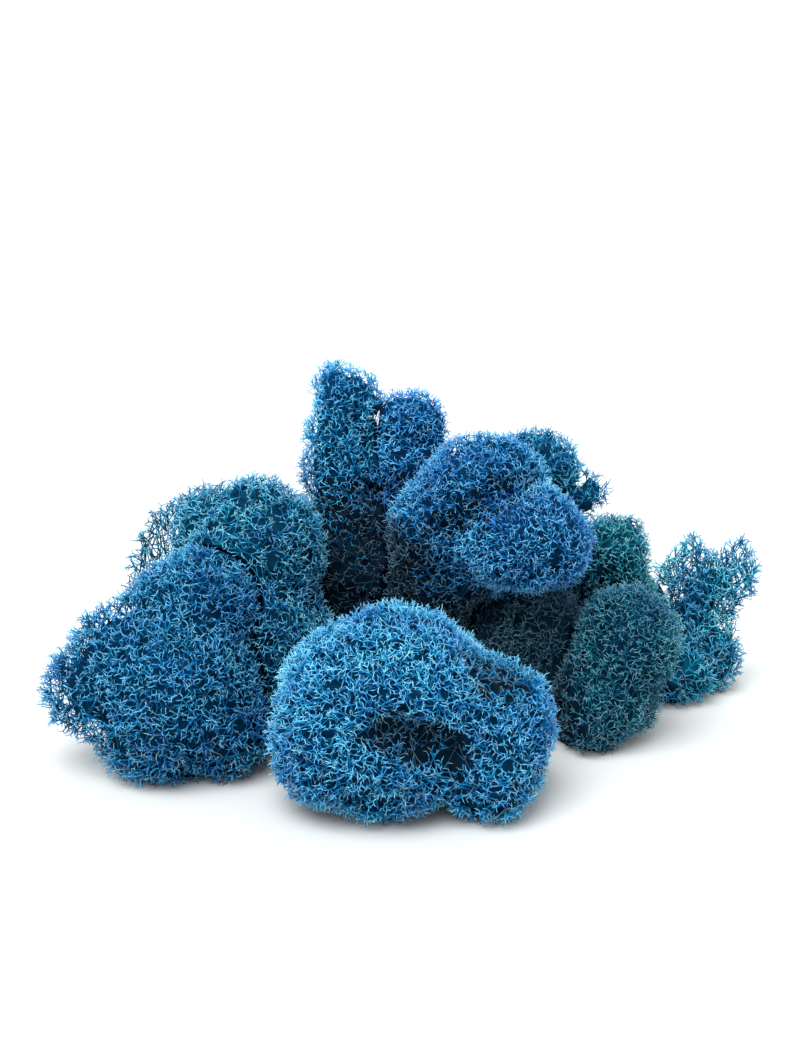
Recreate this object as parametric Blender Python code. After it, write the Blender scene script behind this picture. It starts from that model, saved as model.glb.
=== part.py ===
"""A clump of preserved reindeer lichen, sold as moss: a dozen rounded heads that grew into each other.

Each head is one solid of its outer form, which reaches the tips of its finest branches. A head is a
few round lobes fused into one skin, with low lumps over it. The heads press on each other, so each
one is cut to fit those before it, and flattened where it lies on the table.
Units are metres, +Z is up and -Y is the front. The origin is the middle of the underside.
"""

import bmesh
import bpy
from mathutils import Matrix, Vector, noise

MM = 0.001

# How the forms are made.
BALL_SUBDIVISIONS = 4
TIP_REACH = 1.3 * MM  # how far the last branches stand out from the body of a lobe
FUSING_VOXEL = 1.8 * MM  # lobes closer than this melt into one skin
SKIN_SMOOTHING_ROUNDS = 5
LUMP_SPACING = 11 * MM  # the small bosses on a head, from one to the next
LUMP_HEIGHT = 1.3 * MM
LUMP_PATTERN_STEP = Vector((7.3, 3.1, 5.7))  # each head takes its bosses from another place
HEAD_GAP = 0.5 * MM  # between heads that press on each other
TABLE_DEPTH = 60 * MM
TABLE_REACH = 300 * MM
CRUMB_SHARE = 0.5  # an offcut with under this share of the faces is dropped

# The dye, from the bright outer heads to those that took less of it.
BRIGHT_BLUE = (0.030, 0.200, 0.400)
DEEP_BLUE = (0.025, 0.140, 0.330)
TEAL_BLUE = (0.030, 0.160, 0.230)
DARK_TEAL = (0.018, 0.075, 0.115)
DYED_LICHEN_ROUGHNESS = 0.85

# Each head: its dye, its number of faces, its lobes and its hollows. A lobe or hollow is its centre
# x, y, z and its half width, half depth and half height, all in millimetres. A head is cut by all
# those above it in this list, so the heads whose whole outline shows come first.
HEADS = {
    "front_head": {
        "dye": BRIGHT_BLUE,
        "faces": 850,
        "lobes": {
            "main dome": ((-3, -65, 21), (25, 25, 23)),
            "back": ((1, -44, 19), (22, 18, 19)),
            "crown": ((1, -60, 33), (14, 14, 12)),
            "left cheek": ((-14.5, -69, 17), (15, 18, 16)),
            "brow": ((6, -70, 28), (15, 16, 13)),
            "right cheek": ((20.5, -63, 17), (16, 18, 17)),
            "right foot": ((19, -72, 10), (13.5, 13, 12)),
            "chin": ((-3, -72, 10), (16, 14, 11)),
        },
        "hollows": {
            "mouth": ((8, -93, 19), (6.5, 13, 7)),
            "crease": ((-1, -93, 23.5), (8, 7, 4)),
        },
    },
    "left_head": {
        "dye": BRIGHT_BLUE,
        "faces": 820,
        "lobes": {
            "main dome": ((-52.5, -45, 18.5), (20.5, 22, 22)),
            "tip": ((-72.5, -45, 19.5), (12.5, 13, 13)),
            "shoulder": ((-65.5, -43, 30), (12, 14, 11)),
            "ridge": ((-49.5, -35, 36.5), (16, 16, 14)),
            "right foot": ((-41, -50, 11), (11.5, 13, 12)),
            "left foot": ((-58, -52, 10), (12, 12, 11)),
        },
        "hollows": {},
    },
    "centre_head": {
        "dye": DEEP_BLUE,
        "faces": 780,
        "lobes": {
            "upper dome": ((22, -14, 60.5), (17.5, 17, 15.5)),
            "front dome": ((32, -26, 51), (16.5, 16, 14)),
            "left side": ((9, -12, 51), (12.5, 14, 13)),
            "under side": ((21, -14, 39), (9, 10, 6)),
            "stem": ((8.5, -10, 34), (11.5, 12, 16)),
            "foot": ((9, -8, 13), (12, 12, 15)),
        },
        "hollows": {},
    },
    "right_head": {
        "dye": TEAL_BLUE,
        "faces": 590,
        "lobes": {
            "dome": ((57, -28, 26), (13.5, 14, 15)),
            "left foot": ((48.5, -32, 11.5), (13, 13, 13)),
            "right foot": ((58.5, -27, 12), (8.5, 9.5, 12)),
        },
        "hollows": {},
    },
    "left_back_head": {
        "dye": TEAL_BLUE,
        "faces": 600,
        "lobes": {
            "dome": ((-35.5, -14, 46), (18, 18, 19)),
            "left shoulder": ((-48, -10, 50), (11, 11, 11)),
            "foot": ((-31, -20, 20), (16, 16, 22)),
            "front foot": ((-29, -32, 10), (11, 13, 11)),
            "brow": ((-42, -25, 43), (12, 11, 12)),
            "cheek": ((-30, -31, 26), (11, 12, 15)),
        },
        "hollows": {},
    },
    "shaded_head": {
        "dye": DARK_TEAL,
        "faces": 320,
        "lobes": {
            "dome": ((37, -12, 25), (12, 12, 13)),
            "left knob": ((28, -13, 18), (8, 9, 9)),
            "left wing": ((22.5, -3, 23), (8.5, 9, 14)),
            "foot": ((38, -11, 11), (13, 12, 12)),
        },
        "hollows": {},
    },
    "tall_left_finger": {
        "dye": BRIGHT_BLUE,
        "faces": 570,
        "lobes": {
            "tip": ((-15.5, 6, 83), (8.8, 9, 9)),
            "right tip": ((-11, 6, 84), (7.5, 8, 7.5)),
            "neck": ((-15.5, 6, 73), (9.8, 9.5, 9)),
            "waist": ((-16.3, 6, 62), (11, 10, 10)),
            "belly": ((-15.5, 5, 50), (12, 11.5, 11)),
            "shank": ((-14, 4, 36), (13, 13, 13)),
            "foot": ((-12, 4, 15), (15, 15, 17)),
            "front foot": ((-12, -9, 11), (12, 13, 13)),
            "back hip": ((-22, 17, 21), (16, 14, 22)),
        },
        "hollows": {},
    },
    "tall_right_finger": {
        "dye": DEEP_BLUE,
        "faces": 440,
        "lobes": {
            "tip": ((4.2, 8, 75.5), (10, 9.5, 9.5)),
            "waist": ((3.5, 7, 63), (12, 11, 11)),
            "shank": ((3, 7, 48), (12, 12, 13)),
            "foot": ((5, 10, 28), (11.5, 12, 16)),
            "back hip": ((3, 21, 16), (14, 14, 19)),
        },
        "hollows": {},
    },
    "upper_right_head": {
        "dye": TEAL_BLUE,
        "faces": 410,
        "lobes": {
            "dome": ((57.5, -2, 41), (10, 12, 12)),
            "body": ((58, 2, 26), (12.5, 13, 16)),
            "foot": ((60, 2, 12), (13, 14, 13)),
            "shoulder": ((52, 6, 41), (8, 9, 9)),
            "back": ((62, 13, 17), (13, 12, 17)),
        },
        "hollows": {},
    },
    "rear_head": {
        "dye": TEAL_BLUE,
        "faces": 570,
        "lobes": {
            "crown": ((38.5, 13, 61.5), (12.5, 12, 11)),
            "left crown": ((31, 13, 60.5), (10, 11, 11)),
            "body": ((38, 17, 40), (15.5, 16, 22)),
            "foot": ((39, 18, 16), (17, 18, 18)),
            "sprig joint": ((49.5, 13, 53), (6, 6, 6)),
            "sprig": ((54.5, 14, 55.5), (4.8, 4.8, 4.8)),
        },
        "hollows": {},
    },
    "back_left_wisps": {
        "dye": TEAL_BLUE,
        "faces": 500,
        "lobes": {
            "arch top": ((-51, 2, 55), (8.5, 7, 6.5)),
            "arch bend": ((-59.5, 1, 49), (7.5, 6.5, 6)),
            "arch fall": ((-65.5, -1, 41), (6, 6, 7.5)),
            "arch low": ((-67.5, -4, 32), (6.5, 7, 8)),
            "body": ((-59, -2, 26), (11, 9, 16)),
            "foot": ((-56, -2, 10), (13, 11, 12)),
            "back": ((-46, 8, 18), (15, 13, 20)),
        },
        "hollows": {},
    },
    "far_right_sprig": {
        "dye": BRIGHT_BLUE,
        "faces": 700,
        "lobes": {
            "plume": ((87, 15, 29.5), (9.5, 8, 8.5)),
            "left horn": ((81, 14, 39), (4, 4, 5.5)),
            "left brush": ((75, 13, 32), (5.5, 5, 6.5)),
            "right horn": ((94, 14, 37.5), (4, 4, 5.5)),
            "right side": ((95.5, 14, 30.5), (5, 6, 6.5)),
            "right foot": ((92, 14, 24), (4.5, 5, 6)),
            "neck": ((80.5, 13, 20), (8.5, 8, 10)),
            "lower lobe": ((86, 11, 9.5), (11, 10, 10)),
            "joint": ((75.5, 8, 12), (10, 10, 12)),
            "front foot": ((76, 0, 7.5), (9.5, 10, 8)),
        },
        "hollows": {},
    },
}


def clear_scene():
    for obj in list(bpy.data.objects):
        bpy.data.objects.remove(obj)


def link(name, mesh):
    obj = bpy.data.objects.new(name, mesh)
    bpy.context.scene.collection.objects.link(obj)
    return obj


def settle(obj):
    """Replaces the mesh with what its modifiers make of it, and takes them off."""
    bpy.context.view_layer.update()
    evaluated = obj.evaluated_get(bpy.context.evaluated_depsgraph_get())
    mesh = bpy.data.meshes.new_from_object(evaluated)
    obj.modifiers.clear()
    obj.data = mesh


def round_lobes(name, lobes, reach=0.0):
    """One mesh with a ball for each lobe, each stretched to its half sizes and the reach."""
    mesh = bpy.data.meshes.new(name)
    form = bmesh.new()
    for centre, half_sizes in lobes.values():
        place = Matrix.Translation(Vector(centre) * MM)
        stretch = Matrix.Diagonal([*(size * MM + reach for size in half_sizes), 1])
        bmesh.ops.create_icosphere(
            form, subdivisions=BALL_SUBDIVISIONS, radius=1, matrix=place @ stretch
        )
    form.to_mesh(mesh)
    form.free()
    return mesh


def as_cutter(obj):
    obj.hide_render = True
    obj.display_type = "WIRE"
    return obj


def cut(obj, cutter):
    boolean = obj.modifiers.new("cut by " + cutter.name, "BOOLEAN")
    boolean.operation = "DIFFERENCE"
    boolean.object = cutter


def fuse(obj):
    """Melts the lobes into one skin."""
    remesh = obj.modifiers.new("fuse", "REMESH")
    remesh.mode = "VOXEL"
    remesh.voxel_size = FUSING_VOXEL
    smooth = obj.modifiers.new("soften", "SMOOTH")
    smooth.iterations = SKIN_SMOOTHING_ROUNDS
    settle(obj)


def raise_lumps(mesh, number):
    """Moves each point along its normal, so that the skin has the low bosses of a growing head."""
    shift = LUMP_PATTERN_STEP * number
    moves = [
        vertex.normal * noise.noise(vertex.co / LUMP_SPACING + shift) * LUMP_HEIGHT
        for vertex in mesh.vertices
    ]
    for vertex, move in zip(mesh.vertices, moves):
        vertex.co += move


def thin_out(obj, faces):
    decimate = obj.modifiers.new("thin out", "DECIMATE")
    decimate.ratio = min(1, faces / (2 * len(obj.data.polygons)))
    settle(obj)


def grown_form(name, mesh):
    """The form with the gap added all round: what the heads behind it are cut with."""
    grown = as_cutter(link(name + "_clearance", mesh.copy()))
    swell = grown.modifiers.new("gap", "DISPLACE")
    swell.mid_level = 0
    swell.strength = HEAD_GAP
    settle(grown)
    return grown


def drop_crumbs(mesh):
    """Deletes the offcuts that fitting leaves beside the head itself."""
    form = bmesh.new()
    form.from_mesh(mesh)
    unseen = set(form.verts)
    while unseen:
        island = {unseen.pop()}
        edge_of_island = list(island)
        while edge_of_island:
            for edge in edge_of_island.pop().link_edges:
                for vertex in edge.verts:
                    if vertex in unseen:
                        unseen.remove(vertex)
                        island.add(vertex)
                        edge_of_island.append(vertex)
        if len(island) < CRUMB_SHARE * len(form.verts):
            bmesh.ops.delete(form, geom=list(island), context="VERTS")
            unseen = {vertex for vertex in unseen if vertex.is_valid}
    form.to_mesh(mesh)
    form.free()


def boxes_meet(a, b):
    corners_a = [Vector(corner) for corner in a.bound_box]
    corners_b = [Vector(corner) for corner in b.bound_box]
    return all(
        min(p[axis] for p in corners_a) < max(p[axis] for p in corners_b)
        and min(p[axis] for p in corners_b) < max(p[axis] for p in corners_a)
        for axis in range(3)
    )


def lichen(name, dye):
    material = bpy.data.materials.new(name)
    material.use_nodes = True
    shader = material.node_tree.nodes["Principled BSDF"]
    shader.inputs["Base Color"].default_value = (*dye, 1)
    shader.inputs["Roughness"].default_value = DYED_LICHEN_ROUGHNESS
    shader.inputs["Metallic"].default_value = 0
    material.diffuse_color = (*dye, 1)
    return material


def table_block():
    """What each head that lies on the table is flattened with: its top is the table's top."""
    mesh = bpy.data.meshes.new("table")
    form = bmesh.new()
    place = Matrix.Translation((0, 0, -TABLE_DEPTH / 2))
    size = Matrix.Diagonal((TABLE_REACH, TABLE_REACH, TABLE_DEPTH, 1))
    bmesh.ops.create_cube(form, size=1, matrix=place @ size)
    form.to_mesh(mesh)
    form.free()
    return as_cutter(link("table", mesh))


def make_head(name, spec, number, table, neighbours):
    """Builds one head, cut to fit, and returns it with the cutter for the heads behind it."""
    head = link(name, round_lobes(name, spec["lobes"], TIP_REACH))
    fuse(head)
    for hollow, ball in spec["hollows"].items():
        cutter = as_cutter(link(name + "_" + hollow, round_lobes(hollow, {hollow: ball})))
        cut(head, cutter)
        fuse(head)
        bpy.data.objects.remove(cutter)
    raise_lumps(head.data, number)
    thin_out(head, spec["faces"])
    clearance = grown_form(name, head.data)
    cut(head, table)
    for neighbour in neighbours:
        if boxes_meet(head, neighbour):
            cut(head, neighbour)
    settle(head)
    drop_crumbs(head.data)
    head.data.materials.clear()
    head.data.materials.append(lichen(name + "_dyed", spec["dye"]))
    head.data.shade_smooth()
    return head, clearance


def lowest_and_highest(objects):
    points = [vertex.co for obj in objects for vertex in obj.data.vertices]
    low = Vector([min(point[axis] for point in points) for axis in range(3)])
    high = Vector([max(point[axis] for point in points) for axis in range(3)])
    return low, high


def underside_middle(objects):
    low, high = lowest_and_highest(objects)
    return Vector(((low.x + high.x) / 2, (low.y + high.y) / 2, low.z))


def gather(heads):
    """Parents the heads to an empty in the middle of the clump's underside.

    Each head's own origin is in the middle of its underside.
    """
    clump = link("moss_clump", None)
    clump_middle = underside_middle(heads)
    for head in heads:
        head_middle = underside_middle([head])
        head.data.transform(Matrix.Translation(-head_middle))
        head.location = head_middle - clump_middle
        head.parent = clump
    return clump_middle


def main():
    clear_scene()
    table = table_block()
    heads, clearances = [], []
    for number, (name, spec) in enumerate(HEADS.items(), start=1):
        head, clearance = make_head(name, spec, number, table, clearances)
        heads.append(head)
        clearances.append(clearance)
    for cutter in [table, *clearances]:
        bpy.data.objects.remove(cutter)
    return gather(heads)


main()
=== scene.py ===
"""A clump of preserved reindeer lichen, dyed blue: every head regrown as the thicket that it is."""

import itertools
import math

import bmesh
import bpy
import numpy as np
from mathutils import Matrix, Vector, noise
from mathutils.bvhtree import BVHTree
from mathutils.kdtree import KDTree


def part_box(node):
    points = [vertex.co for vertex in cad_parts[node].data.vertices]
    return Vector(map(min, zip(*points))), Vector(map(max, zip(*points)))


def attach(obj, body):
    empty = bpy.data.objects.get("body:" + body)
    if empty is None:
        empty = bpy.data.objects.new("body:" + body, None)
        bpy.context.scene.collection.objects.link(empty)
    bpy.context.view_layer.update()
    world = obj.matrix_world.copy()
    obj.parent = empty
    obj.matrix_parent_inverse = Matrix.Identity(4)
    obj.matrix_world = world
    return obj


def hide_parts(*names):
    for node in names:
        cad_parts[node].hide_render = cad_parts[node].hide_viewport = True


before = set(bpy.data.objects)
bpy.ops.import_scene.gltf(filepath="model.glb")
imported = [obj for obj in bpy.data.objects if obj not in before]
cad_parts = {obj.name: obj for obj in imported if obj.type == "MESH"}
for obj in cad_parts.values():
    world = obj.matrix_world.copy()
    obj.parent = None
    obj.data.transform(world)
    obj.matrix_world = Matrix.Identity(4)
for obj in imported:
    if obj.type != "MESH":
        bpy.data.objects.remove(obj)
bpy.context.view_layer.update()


# Front head. A cushion of thousands of thin, hollow branches. Each forks wide every millimetre or
# two until it ends in a tuft of points, and the points together make the skin of the head. They
# grow outward from old stems, dark and packed, and nothing else holds the head together.

MM = 0.001  # lengths are in metres
SIGHT = 60 * MM  # how far away a head can still hide the sky
SIGHT_LINES = 48
GRAZING = 0.1  # directions flatter to the skin than this aren't looked along
PRESSED = 1.3 * MM  # skin with a neighbour closer than this is covered
OFF_SKIN = 0.1 * MM


def sky_directions(count):
    """Directions spread evenly over the whole sphere."""
    turn = math.pi * (3 - math.sqrt(5))
    directions = []
    for k in range(count):
        z = 1 - (2 * k + 1) / count
        flat = math.sqrt(1 - z * z)
        directions.append(Vector((flat * math.cos(turn * k), flat * math.sin(turn * k), z)))
    return directions


def triangle_skin(node):
    """The node's corners and triangles, welded, in metres."""
    form = bmesh.new()
    form.from_mesh(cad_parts[node].data)
    bmesh.ops.remove_doubles(form, verts=form.verts, dist=1e-6)
    bmesh.ops.triangulate(form, faces=form.faces)
    form.verts.index_update()
    corners = [vertex.co.copy() for vertex in form.verts]
    triangles = [[vertex.index for vertex in face.verts] for face in form.faces]
    form.free()
    return corners, triangles


def all_heads():
    """Every head's skin as one, for looking out past the neighbours."""
    corners, triangles = [], []
    for skin_corners, skin_triangles in SKINS.values():
        triangles += [[index + len(corners) for index in triangle] for triangle in skin_triangles]
        corners += skin_corners
    return BVHTree.FromPolygons(corners, triangles)


SKY = sky_directions(SIGHT_LINES)
SKINS = {node: triangle_skin(node) for node in sorted(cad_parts)}
WHOLE_CLUMP = all_heads()


def sky_seen(spot, outward):
    """The share of the directions in front of a spot that meet no head and no table."""
    seen, looked = 0, 0
    for direction in SKY:
        if direction.dot(outward) < GRAZING:
            continue
        looked += 1
        if direction.z < 0 and spot.z < -direction.z * SIGHT:
            continue
        if WHOLE_CLUMP.ray_cast(spot, direction, SIGHT)[0] is None:
            seen += 1
    return seen / max(looked, 1)


def open_skin(node):
    """The skin that nothing covers, how much sky its faces see, and which faces are covered."""
    corners, triangles = SKINS[node]
    bare, seen, covered = [], [], []
    for triangle in triangles:
        a, b, c = (corners[index] for index in triangle)
        outward = (b - a).cross(c - a).normalized()
        middle = (a + b + c) / 3 + outward * OFF_SKIN
        share = sky_seen(middle, outward)
        pressed = WHOLE_CLUMP.ray_cast(middle, outward, PRESSED)[0] is not None
        covered.append(pressed or share == 0)
        if not covered[-1]:
            bare.append(triangle)
            seen.append(share)
    return BVHTree.FromPolygons(corners, bare), seen, covered


BLOCK = 5 * MM  # spots too far from the skin are left out by blocks of this size


def even_pattern(low, high, cell):
    """A body-centred pattern of points through a box."""
    step = cell * 2 ** (1 / 3)
    axes = [np.arange(low[i] - step, high[i] + step, step) for i in range(3)]
    corner_points = np.stack(np.meshgrid(*axes, indexing="ij"), -1).reshape(-1, 3)
    return np.concatenate([corner_points, corner_points + step / 2])


def near_skin(points, skin, reach):
    """Only the points whose block of space comes within reach of the skin."""
    block = np.floor(points / BLOCK).astype(int)
    key = (block + 500) @ np.array([1_000_000, 1_000, 1])
    _, first, which = np.unique(key, return_index=True, return_inverse=True)
    middles = (block[first] + 0.5) * BLOCK
    limit = reach + BLOCK * math.sqrt(3) / 2
    close = [skin.find_nearest(Vector(middle))[3] < limit for middle in middles]
    return points[np.array(close)[which]]


TUFT_TOP = 1.0 * MM  # the last forks, which carry the points, lie between these depths
TUFT_FOOT = 2.6 * MM
LUMP_SPACING = 7 * MM  # the tips stay back between the lumps of a head and again between its tufts
LUMP_SINK = 1.8 * MM
TUFT_SPACING = 2.3 * MM
TUFT_SINK = 1.6 * MM
MEAN_SINK = 0.3 * MM
PIT_SPACING = 3.2 * MM
PIT_SHIFT = Vector((5, 3, 1))  # so that the holes don't follow the tufts
PIT_START = 0.32  # of the noise, above which the skin opens into a hole
PIT_DEPTH = 12 * MM
LOOSE_START = 1.1 * MM  # from this far above the band's foot, the branches of a loose place go deeper
LOOSE_DEPTH = 2.2 * MM  # and this much deeper
GAP_SPACING = Vector((2.3, 7, 2.3)) * MM  # the gaps in a loose place, longest from front to back
GAP_START = 0.5  # of the noise, above which there is a gap
GAP_RANGE = 0.28  # how much lower that is where a head is loosest
LOW = 26 * MM  # nearer the table than this, more and more of the branches are worn
LOW_WEAR = 0.25
# Painted shade: a sunken place's branches are painted duller and darker the deeper it sinks.
HOLLOW_SHADE = 11 * MM  # the branches of a place sunk this deep would all be bare
ASIDE = Vector((0.13, 0.29, 0.95)).normalized()
PAST_SKIN = 0.001 * MM  # far enough that the line doesn't meet the same face twice
MIDDLE_MARGIN = 0.9 * MM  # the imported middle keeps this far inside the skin


class Head:
    """One head's solid, which says of a spot how deep, how bare and how lit it is."""

    def __init__(self, node, band, dim, wear, hollow, loose, gaps):
        self.node = node
        self.whole = BVHTree.FromPolygons(*SKINS[node])
        self.skin, self.seen, self.covered = open_skin(node)
        self.band = band
        self.dim = dim
        self.wear = wear
        self.hollow = hollow
        self.loose = loose
        self.gaps = gaps

    def sink(self, spot):
        """How far the tips stay under the skin: more between lumps and tufts, and in holes."""
        lump = noise.noise(spot / LUMP_SPACING)
        tuft = noise.noise(spot / TUFT_SPACING)
        pit = max(0, noise.noise(spot / PIT_SPACING + PIT_SHIFT) - PIT_START)
        return max(0, MEAN_SINK + LUMP_SINK * lump + TUFT_SINK * tuft) + PIT_DEPTH * pit

    def under_tips(self, spot):
        """The nearest open face and the depth under the tips there."""
        open_near, _, face, depth = self.skin.find_nearest(spot)
        depth -= self.sink(open_near) + self.hollow(spot)
        loose_start = max(TUFT_FOOT, self.band - LOOSE_START)
        if depth > loose_start:
            depth = max(loose_start, depth - LOOSE_DEPTH * self.loose(spot))
        return face, depth

    def lie(self, spot):
        """The spot's depth under the tips, its bareness and its share of the sky, if it's inside."""
        near, outward, _, _ = self.whole.find_nearest(spot)
        if (spot - near).dot(outward) > 0 or not self.holds(spot):
            return None
        gap_share = self.gaps(spot)
        if gap_share > 0:
            place = Vector(a / b for a, b in zip(spot, GAP_SPACING))
            if noise.noise(place) > GAP_START - GAP_RANGE * gap_share:
                return None
        face, depth = self.under_tips(spot)
        seen = self.seen[face]
        low = LOW_WEAR * max(0, 1 - spot.z / LOW)
        # A spot that sees less sky than the head's dim counts as bare, and its branches are painted
        # dull and dark like bare stems: painted shade.
        bare = max(self.wear(spot), low, 1 - seen / self.dim)
        return depth, bare + max(0, self.hollow(spot)) / HOLLOW_SHADE, seen

    def holds(self, spot):
        """Whether a line from the spot leaves the solid an odd number of times."""
        crossings = 0
        place = self.whole.ray_cast(spot, ASIDE)[0]
        while place is not None:
            crossings += 1
            place = self.whole.ray_cast(place + ASIDE * PAST_SKIN, ASIDE)[0]
        return crossings % 2 == 1

    def room(self, spot):
        """How far the solid reaches round a spot under the band, or 0 where no such spot is."""
        near, outward, _, whole_depth = self.whole.find_nearest(spot)
        if (spot - near).dot(outward) > 0 or whole_depth < MIDDLE_MARGIN or not self.holds(spot):
            return 0
        return whole_depth if self.under_tips(spot)[1] > self.band else 0


SCATTER = 0.42  # how far a fork strays from an even pattern, as a share of its cell
DEEPEST_SINK = 8 * MM
DARK_SHARE = 0.5  # the share of the forks that is left where a spot sees none of the sky
SKY_SHARE = 0.4  # and how much more of them there are where it sees as much as the head's dim
BARE_LOSS = 0.4  # the share of the last forks that a bare place has lost


def scatter(head, cell, deep_cell, top, bottom, chance):
    """Points between two depths under the tips, their depths, and their bareness with painted shade.
    """
    points = near_skin(even_pattern(*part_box(head.node), cell), head.whole, bottom + DEEPEST_SINK)
    points += chance.uniform(-SCATTER, SCATTER, points.shape) * cell
    luck = chance.random(len(points))
    kept, depths, bareness_or_shade = [], [], []
    for point, lot in zip(points, luck):
        found = head.lie(Vector(point))
        if found is None:
            continue
        depth, bare, seen = found
        if not top <= depth < bottom:
            continue
        local_cell = cell + (deep_cell - cell) * (depth - top) / (bottom - top)
        share = (cell / local_cell) ** 3 * min(1, DARK_SHARE + SKY_SHARE * seen / head.dim)
        if bottom == TUFT_FOOT:
            share *= 1 - BARE_LOSS * min(1, bare)
        if lot < share:
            kept.append(point)
            depths.append(depth)
            bareness_or_shade.append(bare)
    return np.array(kept).reshape(-1, 3), np.array(depths), np.array(bareness_or_shade)


BRANCH_LENGTH = 1.6 * MM  # from one fork to the next
LONGEST_TWIG = 2.6 * MM
LEAST_RISE = 0.15  # of a branch's length, how much of it goes outward
NEIGHBOURS = 24
FORK_HALF_ANGLE = math.radians(38)
LENGTH_EASE = 0.35  # the higher, the less a branch's length counts beside its direction
TURN_COST = 1.1
SISTER_COST = 1.15
CROWD_COST = 0.9


def join_forks(points, ages, fork_count):
    """For each point, the older fork that it grows from, or -1 where the branch starts.

    A branch prefers a near fork that it can leave at the fork's own angle, and away from the other
    branches that leave it.
    """
    tree = KDTree(fork_count)
    for index in range(fork_count):
        tree.insert(points[index], index)
    tree.balance()
    spots = [Vector(point) for point in points]
    parents = np.full(len(points), -1)
    headings = [None] * len(points)
    leaving = [[] for _ in points]
    wide = math.cos(FORK_HALF_ANGLE)
    oldest_first = np.argsort(-ages[:fork_count], kind="stable").tolist()
    for index in [*oldest_first, *range(fork_count, len(points))]:
        spot = spots[index]
        best_cost = best = best_way = None
        for _, other, distance in tree.find_n(spot, NEIGHBOURS):
            if other == index or ages[other] - ages[index] < LEAST_RISE * distance:
                continue
            if index >= fork_count and distance > LONGEST_TWIG:
                continue
            way = (spot - spots[other]) / distance
            cost = LENGTH_EASE + abs(distance / BRANCH_LENGTH - 1)
            if headings[other] is not None:
                cost *= 1 + TURN_COST * abs(wide - way.dot(headings[other]))
            for sister in leaving[other]:
                cost *= SISTER_COST + CROWD_COST * max(0, way.dot(sister))
            if best is None or cost < best_cost:
                best_cost, best, best_way = cost, other, way
        if best is not None:
            parents[index] = best
            headings[index] = best_way
            leaving[best].append(best_way)
    return parents


def ease_bends(points, parents, rounds=2, share=0.5):
    """Draws each fork towards the middle of the forks that it is joined to, so branches curve."""
    child = np.flatnonzero(parents >= 0)
    parent = parents[child]
    count = np.bincount(parent, minlength=len(points))
    inner = (parents >= 0) & (count > 0)
    for _ in range(rounds):
        total = np.zeros_like(points)
        np.add.at(total, parent, points[child])
        mean_child = total / np.maximum(count, 1)[:, None]
        aim = (mean_child + points[parents]) / 2
        points = np.where(inner[:, None], points + (aim - points) * share, points)
    return points


DEEPEST_TUFT = 3 * MM  # a branch that ends deeper than this carries no points
THIRD_POINT = 0.28  # the share of the last forks with a third point
BENT = 0.55  # the share of the points that are long and bent
BEND = 0.75  # how much they turn halfway, where 0 is not at all
BENT_LENGTH = (1.2 * MM, 2.1 * MM)
STRAIGHT_LENGTH = (0.6 * MM, 1.1 * MM)
POINT_SPREAD = math.radians(56)


def unit(vectors):
    """The same directions, one long."""
    return vectors / np.maximum(np.linalg.norm(vectors, axis=-1, keepdims=True), 1e-12)


def tuft_points(points, parents, depths, size, chance):
    """The points that spread from each last fork.

    Gives their places, what each one grows from, its fork and how many steps it is out from there.
    """
    bent_length = np.array(BENT_LENGTH) * size
    straight_length = np.array(STRAIGHT_LENGTH) * size
    ends = np.setdiff1d(np.flatnonzero(parents >= 0), parents)
    ends = ends[depths[ends] < DEEPEST_TUFT]
    heading = unit(points[ends] - points[parents[ends]])
    side = unit(np.cross(heading, chance.normal(size=heading.shape)))
    up = np.cross(heading, side)
    number = 2 + (chance.random(len(ends)) < THIRD_POINT)
    count = len(points)
    places, leaves, forks, steps = [], [], [], []
    for k in range(3):
        turn = (math.tau * k / number + chance.uniform(-0.5, 0.5, len(ends)))[:, None]
        spread = POINT_SPREAD * chance.uniform(0.5, 1.3, (len(ends), 1))
        way = np.cos(spread) * heading + np.sin(spread) * (np.cos(turn) * side + np.sin(turn) * up)
        middle = points[ends] + way * chance.uniform(*bent_length, (len(ends), 1)) / 2
        bent_way = unit(way + BEND * unit(chance.normal(size=way.shape)))
        bent_tip = middle + bent_way * chance.uniform(*bent_length, (len(ends), 1)) / 2
        straight_tip = points[ends] + way * chance.uniform(*straight_length, (len(ends), 1))
        is_bent = chance.random(len(ends)) < BENT
        bent = (number > k) & is_bent
        straight = (number > k) & ~is_bent
        places += [middle[bent], bent_tip[bent], straight_tip[straight]]
        leaves += [ends[bent], count + np.arange(bent.sum()), ends[straight]]
        forks += [ends[bent], ends[bent], ends[straight]]
        steps += [np.ones(bent.sum()), np.full(bent.sum(), 2), np.full(straight.sum(), 2)]
        count += 2 * bent.sum() + straight.sum()
    return [np.concatenate(column) for column in (places, leaves, forks, steps)]


def branch_runs(ages, parents):
    """The points in order along each branch, from the fork it leaves to its tip."""
    main_child = np.full(len(parents), -1)
    reach = np.zeros(len(parents), int)
    youngest_first = np.argsort(ages, kind="stable").tolist()
    for index in youngest_first:
        parent = parents[index]
        if parent >= 0 and (main_child[parent] < 0 or reach[index] + 1 > reach[parent]):
            main_child[parent] = index
            reach[parent] = reach[index] + 1
    runs = []
    for index in reversed(youngest_first):
        parent = parents[index]
        if parent >= 0 and main_child[parent] == index:
            continue
        run = [index] if parent < 0 else [parent, index]
        while main_child[run[-1]] >= 0:
            run.append(main_child[run[-1]])
        if len(run) > 1:
            runs.append(run)
    return runs


TIP_WIDTH = 0.19 * MM
STEM_WIDTH = 0.42 * MM
FULL_WIDTH_DEPTH = 7 * MM  # the stems are at their thickest this far under the skin
CORNER_REACH = 0.55  # of its width, how far a branch's three corners lie from its middle
SIDE_TONES = (-0.02, 0, 0.02)  # so that the sides of a branch differ a little


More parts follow.
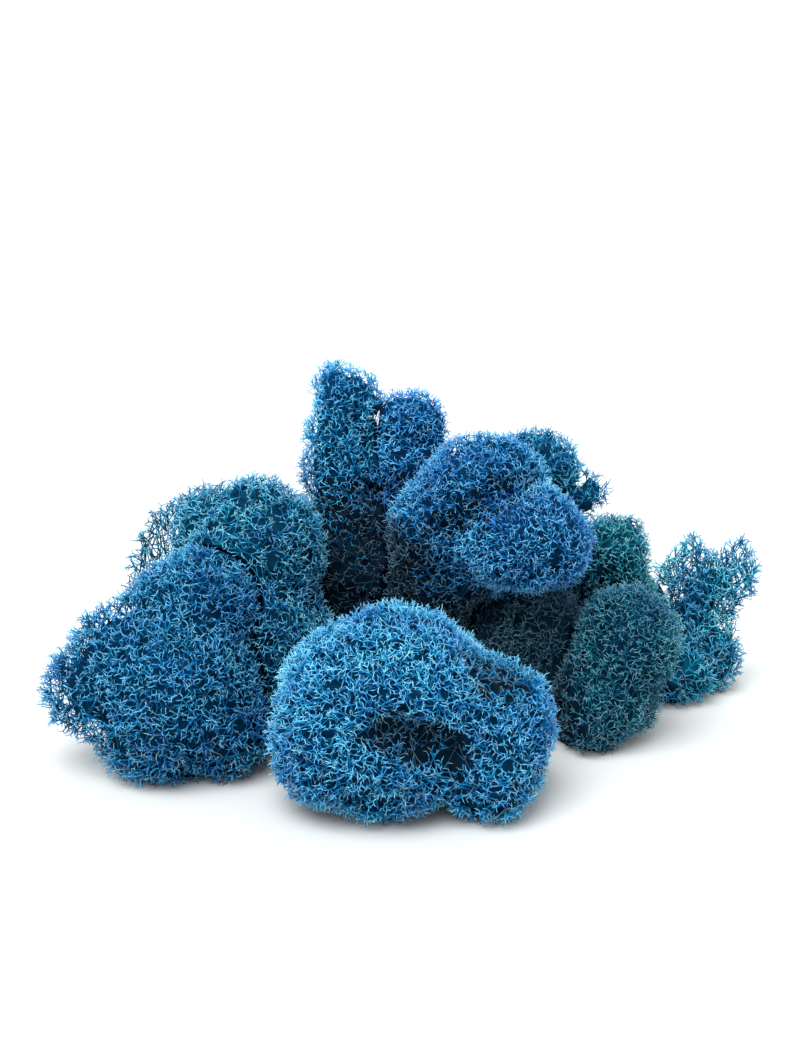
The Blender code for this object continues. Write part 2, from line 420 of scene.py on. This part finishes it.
def tubes(points, depths, shades, tones, runs, width):
    """Each run as a three-sided tube that narrows to a point, with its place in the palette."""
    line = np.concatenate([np.array(run) for run in runs])
    run_of = np.repeat(np.arange(len(runs)), [len(run) for run in runs])
    same_run = run_of[1:] == run_of[:-1]
    goes_on = np.append(same_run, False)
    comes_from = np.insert(same_run, 0, False)
    place = points[line]
    after = np.where(goes_on[:, None], np.roll(place, -1, 0), place)
    before = np.where(comes_from[:, None], np.roll(place, 1, 0), place)
    tangent = unit(after - before)
    chord = place[np.flatnonzero(~goes_on)] - place[np.flatnonzero(~comes_from)]
    across = np.cross(chord, np.array([[0.31, 0.53, 0.79]]))[run_of]
    side = unit(across - tangent * np.sum(across * tangent, 1, keepdims=True))
    up = np.cross(tangent, side)
    share = np.clip(depths[line] / FULL_WIDTH_DEPTH, 0, 1)
    radius = (TIP_WIDTH + (STEM_WIDTH - TIP_WIDTH) * share)[:, None] * CORNER_REACH * width
    corners = np.stack(
        [
            place + radius * (math.cos(angle) * side + math.sin(angle) * up)
            for angle in (0, math.tau / 3, 2 * math.tau / 3)
        ],
        1,
    )
    ring = np.flatnonzero(goes_on)
    tip = np.flatnonzero(~goes_on)
    first = np.zeros(len(line), int)
    first[ring] = np.arange(len(ring)) * 3
    first[tip] = len(ring) * 3 + np.arange(len(tip))
    vertices = np.concatenate([corners[ring].reshape(-1, 3), place[tip]])
    shade = np.concatenate([np.repeat(shades[line[ring]], 3), shades[line[tip]]])
    tone = np.concatenate([np.repeat(tones[run_of[ring]], 3), tones[run_of[tip]]])
    tone += np.concatenate([np.tile(SIDE_TONES, len(ring)), np.zeros(len(tip))])
    ends = ring[~goes_on[ring + 1]]
    links = ring[goes_on[ring + 1]]
    faces = []
    for i in range(3):
        j = (i + 1) % 3
        faces.append(np.stack([first[links] + i, first[links] + j, first[links + 1] + j], 1))
        faces.append(np.stack([first[links] + i, first[links + 1] + j, first[links + 1] + i], 1))
        faces.append(np.stack([first[ends] + i, first[ends] + j, first[ends + 1]], 1))
    return vertices, np.concatenate(faces), shade, tone


MIDDLE_CELL = 2.4 * MM
MIDDLE_RADIUS = 1.7 * MM
SIDE_SPACING = 1.4 * MM
SIDE_DEPTH = 1.1 * MM
SIDE_REACH = 2.0 * MM  # the middle is drawn out to covered skin that is nearer than this
SIDE_COVER = 0.08 * MM
MIDDLE_ROUGH = 0.28 * MM
MIDDLE_SKIN_VOXEL = 1.2 * MM
MIDDLE_FACES_KEPT = 0.28


def packed_middle(head, chance):
    """The old heart of the head, where the stems are too packed to tell apart."""
    pattern = [Vector(point) for point in even_pattern(*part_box(head.node), MIDDLE_CELL)]
    skin_corners, triangles = SKINS[head.node]
    for triangle in itertools.compress(triangles, head.covered):
        a, b, c = (skin_corners[index] for index in triangle)
        normal = (b - a).cross(c - a)
        inward = -normal.normalized() * SIDE_DEPTH
        for _ in range(int(normal.length / 2 / SIDE_SPACING**2 + chance.random())):
            along, over = np.sort(chance.random(2))
            pattern.append(a + (b - a) * (over - along) + (c - a) * along + inward)
    room = np.array([head.room(spot) for spot in pattern])
    places = np.array(pattern)[room > 0]
    radii = np.minimum(room[room > 0], MIDDLE_RADIUS)
    ball = bmesh.new()
    bmesh.ops.create_icosphere(ball, subdivisions=1, radius=1)
    ball.verts.index_update()
    ball_corners = np.array([vertex.co for vertex in ball.verts])
    ball_faces = np.array([[vertex.index for vertex in face.verts] for face in ball.faces])
    ball.free()
    corners = (places[:, None] + ball_corners * radii[:, None, None]).reshape(-1, 3)
    first = np.arange(len(places))[:, None, None] * len(ball_corners)
    mesh = bpy.data.meshes.new(head.node + "_middle")
    mesh.from_pydata(corners.tolist(), [], (first + ball_faces).reshape(-1, 3).tolist())
    lump = bpy.data.objects.new(head.node + "_middle", mesh)
    bpy.context.scene.collection.objects.link(lump)
    melt = lump.modifiers.new("melt", "REMESH")
    melt.mode = "VOXEL"
    melt.voxel_size = MIDDLE_SKIN_VOXEL
    thin_out = lump.modifiers.new("thin out", "DECIMATE")
    thin_out.ratio = MIDDLE_FACES_KEPT
    lump.modifiers.new("triangles", "TRIANGULATE")
    bpy.context.view_layer.update()
    final = lump.evaluated_get(bpy.context.evaluated_depsgraph_get()).to_mesh()
    corners = []
    for vertex in final.vertices:
        near, outward, face, depth = head.whole.find_nearest(vertex.co)
        if head.covered[face] and depth < SIDE_REACH:
            corners.append(near - outward * SIDE_COVER)
        else:
            corners.append(vertex.co + Vector(chance.normal(size=3)) * MIDDLE_ROUGH)
    faces = np.array([list(face.vertices) for face in final.polygons])
    bpy.data.objects.remove(lump)
    return np.array(corners), faces


DEEP_CELL = 2.2 * MM  # how far apart the forks are at the foot of the band
TUFT_CELL = 1.37  # how much wider apart the last forks are than those below them
LIFT = 0.25  # how much the branches turn upward as they grow outward
POINT_RISE = 0.45  # of a last fork's depth, how far each step of its points comes out
TABLE_CLEARANCE = 0.12 * MM
# The colours darken from the tips inward: partly the old stems' own colour, partly painted shade of
# the thicket's depths.
COLOUR_DEPTH = 6 * MM  # the colours run from the tips to the old stems over this depth
# Bareness includes painted shade, so branches in little sky and in sunken places are painted darker
# by this as well.
BARE_OR_SHADED_DEPTH = 1.7 * MM  # bare stems have the colour of those that lie this much deeper
OLD_STEMS = (0.84, 0.9)  # the darkest shades that a branch can have
PATCH_SPACING = 11 * MM  # the dye took a little differently from one patch to the next
PATCH_TONE = 0.45
BRANCH_TONE = 0.28
MEAN_TONE = 0.43
DYED_TONES = (0.03, 0.82)
# These tones mark bare stems and also branches painted dull in shade: partly wear, partly painted
# shade.
WORN_OR_SHADED_TONE = 0.85  # a tone above this stands for a worn branch
WORN_OR_SHADED_TONES = (0.88, 0.96)
# The middle's shades lie near the far end of the ramp: it is painted near black, as painted shade of
# the packed depths.
MIDDLE_SHADES = (0.86, 1)
MIDDLE_TONES = (0.2, 0.8)
# Under a bare or sunken place the middle is painted near black: painted shade in the hollows and
# under the bare stems.
WORN_OR_SHADED_MIDDLE_TONE = 0.9
LIT_SHADE = -0.06  # the middle is paler where the skin above it is lit
BARE_OR_SUNK_SHADE = 0.04  # and darker under a bare or sunken place
BARE_FROM = 0.1  # a place counts as bare, or as sunken, from here on
SUNK_FROM = 0.1 * MM


def nowhere(spot):
    """For a head that is nowhere bare, sunken, loose or open."""
    return 0


def grow_head(node, material, seed, cell, band, dim,
              wear=nowhere, hollow=nowhere, loose=nowhere, gaps=nowhere, width=1):
    """Replaces a node by its branches.

    The forks are a cell apart near the tips, and the branches are followed down to the depth of the
    band. Spots that see less of the sky than dim have few tips, and their branches are painted like
    bare stems, as painted shade. Of each spot, wear says how bare it is, hollow how far its tips stay
    back, which paints shade into them too, loose how open it is and gaps how much of it is gaps.
    Width is how thick and long the points are beside the front head's.
    """
    chance = np.random.default_rng(seed)
    head = Head(node, band, dim, wear, hollow, loose, gaps)
    forks, fork_depths, fork_bare_or_shaded = scatter(head, cell, DEEP_CELL, TUFT_FOOT, band, chance)
    last_cell = TUFT_CELL * cell
    lasts, last_depths, last_bare_or_shaded = scatter(
        head, last_cell, last_cell, TUFT_TOP, TUFT_FOOT, chance
    )
    points = np.concatenate([forks, lasts])
    depths = np.concatenate([fork_depths, last_depths])
    bare = np.concatenate([fork_bare_or_shaded, last_bare_or_shaded])
    ages = depths - LIFT * points[:, 2]
    parents = join_forks(points, ages, len(forks))
    points = ease_bends(points, parents)
    tips, leaves, tip_forks, steps = tuft_points(points, parents, depths, width, chance)
    points = np.concatenate([points, tips])
    parents = np.append(parents, leaves)
    ages = np.append(ages, ages[tip_forks] - steps * BRANCH_LENGTH)
    depths = np.append(depths, depths[tip_forks] * (1 - POINT_RISE * steps))
    bare = np.append(bare, bare[tip_forks])
    runs = branch_runs(ages, parents)
    patch = np.array([noise.noise(Vector(points[run[-1]]) / PATCH_SPACING) for run in runs])
    own_tone = chance.uniform(-BRANCH_TONE, BRANCH_TONE, len(runs))
    tones = np.clip(MEAN_TONE + PATCH_TONE * patch + own_tone, *DYED_TONES)
    dull = np.array([bare[run[-1]] for run in runs]) > chance.random(len(runs))
    tones[dull] = chance.uniform(*WORN_OR_SHADED_TONES, dull.sum())
    deepest = chance.uniform(*OLD_STEMS, len(depths))
    shades = np.clip((depths + bare * BARE_OR_SHADED_DEPTH) / COLOUR_DEPTH, 0, deepest)
    vertices, faces, shade, tone = tubes(points, depths, shades, tones, runs, width)

    heart, heart_faces = packed_middle(head, chance)
    faces = np.concatenate([faces, heart_faces + len(vertices)])
    vertices = np.concatenate([vertices, heart])
    above = [head.skin.find_nearest(Vector(spot)) for spot in heart]
    lit = np.array([head.seen[face] for _, _, face, _ in above])
    # The middle under bare or sunken places is painted near black, as painted shade.
    worn_or_shaded = [head.wear(near) > BARE_FROM or head.hollow(near) > SUNK_FROM for near, _, _, _ in above]
    heart_shade = chance.uniform(*MIDDLE_SHADES, len(heart))
    shade = np.append(shade, heart_shade + np.where(worn_or_shaded, BARE_OR_SUNK_SHADE, LIT_SHADE * lit))
    heart_tone = chance.uniform(*MIDDLE_TONES, len(heart))
    tone = np.append(tone, np.where(worn_or_shaded, WORN_OR_SHADED_MIDDLE_TONE, heart_tone))
    vertices[:, 2] = np.maximum(vertices[:, 2], TABLE_CLEARANCE)

    mesh = bpy.data.meshes.new(node + "_branches")
    mesh.from_pydata(vertices.tolist(), [], faces.tolist())
    palette = mesh.uv_layers.new(name="OFBake")
    corner = faces.reshape(-1)
    palette.data.foreach_set("uv", np.stack([tone[corner], shade[corner]], 1).reshape(-1))
    mesh.shade_smooth()
    mesh.materials.append(material)
    piece = bpy.data.objects.new(node + "_branches", mesh)
    bpy.context.scene.collection.objects.link(piece)
    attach(piece, "root")
    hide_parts(node)


# The pale tip colour is partly the tips' own lighter colour and partly painted highlight.
PALE_TIP = (0.42, 0.80, 0.88)  # the very ends of the points have the least dye


def lichen(name, tip, body, old):
    """Dyed branches: smooth and bright at the tips, rough and dark further in, each its own blue.

    The darkening further in is partly the old stems' own colour and partly painted shade.
    """
    material = bpy.data.materials.new(name)
    material.use_nodes = True
    nodes = material.node_tree.nodes
    links = material.node_tree.links
    shader = nodes["Principled BSDF"]
    shader.inputs["Specular IOR Level"].default_value = 0.05
    palette = nodes.new("ShaderNodeUVMap")
    palette.uv_map = "OFBake"
    parts = nodes.new("ShaderNodeSeparateXYZ")
    links.new(palette.outputs["UV"], parts.inputs["Vector"])
    dryness = nodes.new("ShaderNodeMapRange")
    dryness.inputs["To Min"].default_value = 0.68
    dryness.inputs["To Max"].default_value = 0.95
    links.new(parts.outputs["Y"], dryness.inputs["Value"])
    links.new(dryness.outputs["Result"], shader.inputs["Roughness"])
    by_depth = nodes.new("ShaderNodeValToRGB")
    stops = by_depth.color_ramp.elements
    stops[0].color = (*(0.5 * value + 0.5 * pale for value, pale in zip(tip, PALE_TIP)), 1)
    # The far end, near black, is painted shade deep in the thicket.
    stops[1].color = (0.001, 0.012, 0.030, 1)
    for place, colour in ((0.08, tip), (0.32, body), (0.62, old)):
        stops.new(place).color = (*colour, 1)
    links.new(parts.outputs["Y"], by_depth.inputs["Fac"])
    by_tone = nodes.new("ShaderNodeValToRGB")
    stops = by_tone.color_ramp.elements
    stops[0].color = (0.55, 0.50, 0.80, 1)
    stops[1].color = (1.5, 1.35, 1.15, 1)
    stops[1].position = 0.8
    stops.new(0.4).color = (1, 1, 1, 1)
    links.new(parts.outputs["X"], by_tone.inputs["Fac"])
    dyed = nodes.new("ShaderNodeMix")
    dyed.data_type = "RGBA"
    dyed.blend_type = "MULTIPLY"
    dyed.inputs["Factor"].default_value = 1
    links.new(by_depth.outputs["Color"], dyed.inputs["A"])
    links.new(by_tone.outputs["Color"], dyed.inputs["B"])
    # The ramp for bare stems and for branches painted like them in shade; its dark end is painted
    # shade.
    worn_or_shaded = nodes.new("ShaderNodeValToRGB")
    stops = worn_or_shaded.color_ramp.elements
    stops[0].color = (0.29, 0.50, 0.64, 1)
    stops[1].color = (0.002, 0.010, 0.022, 1)
    for place, colour in (
        (0.3, (0.12, 0.24, 0.34)),
        (0.6, (0.03, 0.065, 0.10)),
        (0.86, (0.002, 0.012, 0.024)),
    ):
        stops.new(place).color = (*colour, 1)
    links.new(parts.outputs["Y"], worn_or_shaded.inputs["Fac"])
    is_worn_or_shaded = nodes.new("ShaderNodeValToRGB")
    stops = is_worn_or_shaded.color_ramp.elements
    stops[0].position = WORN_OR_SHADED_TONE - 0.01
    stops[1].position = WORN_OR_SHADED_TONE + 0.01
    links.new(parts.outputs["X"], is_worn_or_shaded.inputs["Fac"])
    mix = nodes.new("ShaderNodeMix")
    mix.data_type = "RGBA"
    links.new(is_worn_or_shaded.outputs["Color"], mix.inputs["Factor"])
    links.new(dyed.outputs["Result"], mix.inputs["A"])
    links.new(worn_or_shaded.outputs["Color"], mix.inputs["B"])
    links.new(mix.outputs["Result"], shader.inputs["Base Color"])
    return material


# The mouth low in its face, which is the first two, the crease that runs left from it, and a thin
# shoulder at the top right. Each has its middle and half widths in millimetres, then how bare it is
# and how far it sinks. In the mouth, much of that bareness is painted shade of the cave.
THIN_PLACES = (
    ((-2, -66, 21), (6.5, 16, 6.5), 0.8, 5),
    ((4.5, -66, 17.5), (3.8, 16, 6.5), 1.0, 8),
    ((-9, -63, 24.5), (7, 10, 5), 0.6, 2.5),
    ((17, -45, 36), (10, 12, 9), 0.6, 2.8),
)
EDGE = 1.2  # where a thin place ends, as a share of its half widths
EDGE_FADE = 0.5


def fade(distance, width):
    """Goes from 0 at no distance to 1 at the width."""
    return min(1, max(0, distance / width))


def thinness(spot, centre, radii):
    """1 in the middle of a thin place and 0 outside it."""
    reach = math.hypot(*((spot[i] / MM - centre[i]) / radii[i] for i in range(3)))
    return fade(EDGE - reach, EDGE_FADE)


def front_wear(spot):
    """How bare the thin places are; in the mouth this is largely painted shade."""
    return max(thinness(spot, centre, radii) * bare for centre, radii, bare, _ in THIN_PLACES)


def front_hollow(spot):
    """How far the tips stay back in them."""
    return max(thinness(spot, centre, radii) * sinks for centre, radii, _, sinks in THIN_PLACES) * MM


grow_head(
    "front_head",
    lichen("front_head_lichen", (0.18, 0.57, 0.84), (0.010, 0.23, 0.50), (0, 0.05, 0.15)),
    seed=1, cell=0.88 * MM, band=4.4 * MM, wear=front_wear,
    hollow=front_hollow, dim=0.07,
)


# Left head. The second large cushion of branches, drawn out at the left to a loose tip that shows
# the table through it. It rests on the table and leans on the front head and the one behind it.

TIP_START = -0.067
TIP_FADE = 7 * MM
TANGLE_REACH = 5 * MM
TANGLE_RISE = 1.7 * MM


def left_tip(spot):
    """1 in the drawn-out end, which is loose, and 0 in the rest."""
    return fade(TIP_START - spot.x, TIP_FADE)


def tangle_with(node):
    """Where a head meets another, its tips come further out and into the other's."""
    other = BVHTree.FromPolygons(*SKINS[node])

    def rise(spot):
        distance = other.find_nearest(spot, TANGLE_REACH)[3]
        return 0 if distance is None else -TANGLE_RISE * (1 - distance / TANGLE_REACH)

    return rise


grow_head(
    "left_head",
    lichen("left_head_lichen", (0.14, 0.47, 0.74), (0.008, 0.17, 0.39), (0, 0.05, 0.14)),
    seed=2, cell=0.96 * MM, band=4.5 * MM, loose=left_tip,
    gaps=lambda spot: 0.75 * left_tip(spot), hollow=tangle_with("left_back_head"), dim=0.05,
)


# Left back head. A domed cushion of the same lichen, greyer and higher than the left head. It
# grew against that head's back, and the branches of the two tangle where they meet.

grow_head(
    "left_back_head",
    lichen("left_back_lichen", (0.20, 0.55, 0.74), (0.012, 0.22, 0.41), (0, 0.06, 0.14)),
    seed=3, cell=1.0 * MM, band=4.2 * MM, hollow=tangle_with("left_head"), dim=0.05,
)


# Back left wisps. A younger head with few branches, which arch over in loose sprays and let the
# light through. It stands behind the two left heads, and its foot is tangled with them.

SPRAY_START = -0.064
SPRAY_FADE = 4 * MM


def arch(spot):
    """1 in the sprays that arch out to the left, and 0 in the rest."""
    return fade(SPRAY_START - spot.x, SPRAY_FADE)


grow_head(
    "back_left_wisps",
    lichen("wisp_lichen", (0.14, 0.46, 0.64), (0.008, 0.17, 0.32), (0.001, 0.07, 0.15)),
    seed=4, cell=1.1 * MM, band=4 * MM, loose=arch, gaps=arch, dim=0.05,
    width=1.15,
)


# Tall left finger. The tallest head, which grew upright. Its branches are finer than those of the
# cushions and loose at its left side, and its foot stands behind them on the table.

FOOT_TOP = 0.064
FOOT_FADE = 20 * MM
FOOT_BACK = 0.047
FOOT_BACK_FADE = 12 * MM
FOOT_BARE = 0.95
FINGERS_MEET = -0.013
FINGERS_WIDTH = 5 * MM
FINGERS_TOP = 0.085
FINGERS_RISE = 1.8 * MM
LOOSE_SIDE = -0.0275
LOOSE_SIDE_FADE = 3 * MM


def foot_wear(spot):
    """The feet of the fingers have lost most of their tips, but not at the back."""
    low = fade(FOOT_TOP - spot.z, FOOT_FADE)
    return FOOT_BARE * low * fade(FOOT_BACK - spot.y, FOOT_BACK_FADE)


def meeting(spot):
    """Where the two fingers meet, their tips come further out instead of staying back."""
    beside = max(0, 1 - abs(spot.x - FINGERS_MEET) / FINGERS_WIDTH)
    return -FINGERS_RISE * beside * fade(FINGERS_TOP - spot.z, FINGERS_WIDTH)


def left_side(spot):
    """1 in its loose left side, and 0 in the rest."""
    return fade(LOOSE_SIDE - spot.x, LOOSE_SIDE_FADE)


grow_head(
    "tall_left_finger",
    lichen("tall_left_lichen", (0.22, 0.68, 0.96), (0.014, 0.29, 0.60), (0, 0.08, 0.21)),
    seed=5, cell=0.96 * MM, band=3.9 * MM, wear=foot_wear, hollow=meeting, loose=left_side,
    gaps=lambda spot: 0.7 * left_side(spot), dim=0.05, width=0.85,
)


# Tall right finger. The shorter of the two upright heads, of the same fine branches with a more
# violet dye. It leans on the tall one, and the tips of the two tangle.

grow_head(
    "tall_right_finger",
    lichen("tall_right_lichen", (0.21, 0.59, 0.95), (0.015, 0.24, 0.60), (0, 0.055, 0.19)),
    seed=6, cell=0.93 * MM, band=3.8 * MM, wear=foot_wear, hollow=meeting, dim=0.05,
    width=0.85,
)


# Centre head. A big double dome of fine branches on a stem of old ones, which are dark, partly as
# painted shade, and have lost their tips. It leans forward over the shaded head.

# The places that the crease between its two domes runs through, in millimetres.
CREASE = (
    (2, -1, 56),
    (6, -3, 58),
    (10, -5.5, 60.5),
    (13.5, -6, 63),
    (17.5, -5, 66),
    (20.5, -2.5, 68),
    (24, 1, 69),
)
CREASE_HALF_WIDTH = 5
CREASE_FADE = 3.5
CREASE_DEPTH = 2.6 * MM
INTO_CREASE = Vector((0.2, 0.84, -0.5))
INWARD = 0.75  # the share of a spot's distance that way that doesn't count
WORN_LEFT = 0.005
WORN_LEFT_FADE = 10 * MM
WORN_LEFT_TOP = 0.056
WORN_LEFT_TOP_FADE = 8 * MM
STEM_TOP = 0.040
STEM_FADE = 6 * MM
STEM_RIGHT = 0.016


def crease(spot):
    """How far the tips stay back in the crease."""
    ways = [Vector(place) - spot / MM for place in CREASE]
    apart = min((way - INWARD * way.project(INTO_CREASE)).length for way in ways)
    return CREASE_DEPTH * fade(CREASE_HALF_WIDTH - apart, CREASE_FADE)


def stem_wear(spot):
    """The stem and the left side have lost most of their tips."""
    left = fade(WORN_LEFT - spot.x, WORN_LEFT_FADE)
    left *= fade(WORN_LEFT_TOP - spot.z, WORN_LEFT_TOP_FADE)
    stem = fade(STEM_TOP - spot.z, STEM_FADE) * (spot.x < STEM_RIGHT)
    return max(left, stem)


grow_head(
    "centre_head",
    lichen("centre_lichen", (0.18, 0.54, 0.88), (0.010, 0.185, 0.46), (0, 0.05, 0.165)),
    seed=7, cell=0.91 * MM, band=4.2 * MM, wear=stem_wear, hollow=crease, dim=0.08, width=0.85,
)


# Rear head. A paler dome of fine branches behind the centre head and against it, with a small
# sprig that grew out of its right shoulder.

grow_head(
    "rear_head",
    lichen("rear_lichen", (0.15, 0.56, 0.80), (0.008, 0.22, 0.44), (0, 0.07, 0.18)),
    seed=8, cell=1.02 * MM, band=3.7 * MM, dim=0.07, width=0.85,
)


# Shaded head. A low cushion of very fine branches, pressed in under the centre head. It took
# little of the dye.

grow_head(
    "shaded_head",
    lichen("shaded_lichen", (0.16, 0.32, 0.42), (0.045, 0.14, 0.21), (0.014, 0.055, 0.095)),
    seed=9, cell=0.93 * MM, band=3.8 * MM, dim=0.06, width=0.8,
)


# Right head. A cushion of fine branches that took a greener dye. It rests on the table beside the
# shaded head, and low at that side, in the shade between the heads, its branches have few tips and
# are painted dull and dark: painted shade.

# Painted shade: the low left side, in the shade between the heads, is painted dark and its tips stay
# back.
SHADED_SIDE = 0.037
SHADED_SIDE_FADE = 7 * MM
SHADED_SIDE_TOP = 0.042
SHADED_SIDE_TOP_FADE = 10 * MM
SHADED_SIDE_SINK = 2.5 * MM


def left_side_shade(spot):
    """Painted shade: 1 low down at its left side, and 0 in the rest."""
    beside = fade(SHADED_SIDE - spot.x, SHADED_SIDE_FADE)
    return beside * fade(SHADED_SIDE_TOP - spot.z, SHADED_SIDE_TOP_FADE)


def left_side_sink(spot):
    """Its tips stay back there as well."""
    return SHADED_SIDE_SINK * left_side_shade(spot)


grow_head(
    "right_head",
    lichen("right_lichen", (0.13, 0.345, 0.45), (0.008, 0.125, 0.20), (0, 0.036, 0.07)),
    seed=10, cell=0.89 * MM, band=3.9 * MM, wear=left_side_shade, hollow=left_side_sink,
    dim=0.08, width=0.85,
)


# Upper right head. A small dome of the same green branches, above and behind the right head and
# leaning on it.

grow_head(
    "upper_right_head",
    lichen("upper_right_lichen", (0.16, 0.50, 0.62), (0.010, 0.19, 0.29), (0, 0.065, 0.115)),
    seed=11, cell=0.95 * MM, band=3.7 * MM, dim=0.06, width=0.85,
)


# Far right sprig. A loose plume of thicker branches with two horns, open enough to see through.
# It stands on a denser foot beside the right head.

SPRIG_CLUSTERS = (((79, 41, 29.5), 6.5), ((75, 37, 9), 9))  # the dense places: middle, radius (mm)
CLUSTER_FADE = 5
SPRIG_FOOT = 0.016
SPRIG_FOOT_FADE = 4 * MM


def sprig_gaps(spot):
    """0 in its dense places, and 1 further from them."""
    apart = min((Vector(centre) - spot / MM).length - radius for centre, radius in SPRIG_CLUSTERS)
    return fade(apart, CLUSTER_FADE)


def sprig_loose(spot):
    """It is loose all over but for its foot."""
    return fade(spot.z - SPRIG_FOOT, SPRIG_FOOT_FADE)


grow_head(
    "far_right_sprig",
    lichen("sprig_lichen", (0.18, 0.56, 0.74), (0.012, 0.25, 0.42), (0.001, 0.08, 0.17)),
    seed=12, cell=1.0 * MM, band=3.9 * MM, loose=sprig_loose,
    gaps=lambda spot: 0.7 * sprig_gaps(spot), dim=0.08, width=1.2,
)


# Table, light and camera. A white table stands under a white tent, with one soft lamp above, in
# front and to the left. The camera looks down on the clump a little, from the front.

table = bpy.data.meshes.new("table")
table.from_pydata([(-4, -4, 0), (4, -4, 0), (4, 4, 0), (-4, 4, 0)], [], [(0, 1, 2, 3)])
table_top = bpy.data.objects.new("table", table)
bpy.context.scene.collection.objects.link(table_top)
paint = bpy.data.materials.new("table_white")
paint.use_nodes = True
paint.node_tree.nodes["Principled BSDF"].inputs["Base Color"].default_value = (0.60, 0.615, 0.615, 1)
paint.node_tree.nodes["Principled BSDF"].inputs["Roughness"].default_value = 0.7
table.materials.append(paint)

world = bpy.data.worlds.new("tent")
world.use_nodes = True
world.node_tree.nodes["Background"].inputs["Color"].default_value = (0.96, 1.0, 1.0, 1)
world.node_tree.nodes["Background"].inputs["Strength"].default_value = 1.05
bpy.context.scene.world = world

lamp = bpy.data.lights.new("key", "SUN")
lamp.energy = 3.75
lamp.angle = math.radians(45)
lamp_seat = bpy.data.objects.new("key", lamp)
lamp_seat.rotation_euler = Vector((0.24, 0.5, -0.97)).to_track_quat("-Z", "Y").to_euler()
bpy.context.scene.collection.objects.link(lamp_seat)

camera = bpy.data.cameras.new("camera")
camera.sensor_width = 36
camera.lens = 47.6
camera.clip_start = 0.01
camera_seat = bpy.data.objects.new("camera", camera)
camera_seat.location = (-0.00804, -0.33338, 0.1310)
camera_seat.rotation_euler = (math.radians(90 - 13.04), 0, 0)
bpy.context.scene.collection.objects.link(camera_seat)
bpy.context.scene.camera = camera_seat
bpy.context.scene.view_settings.view_transform = "Standard"
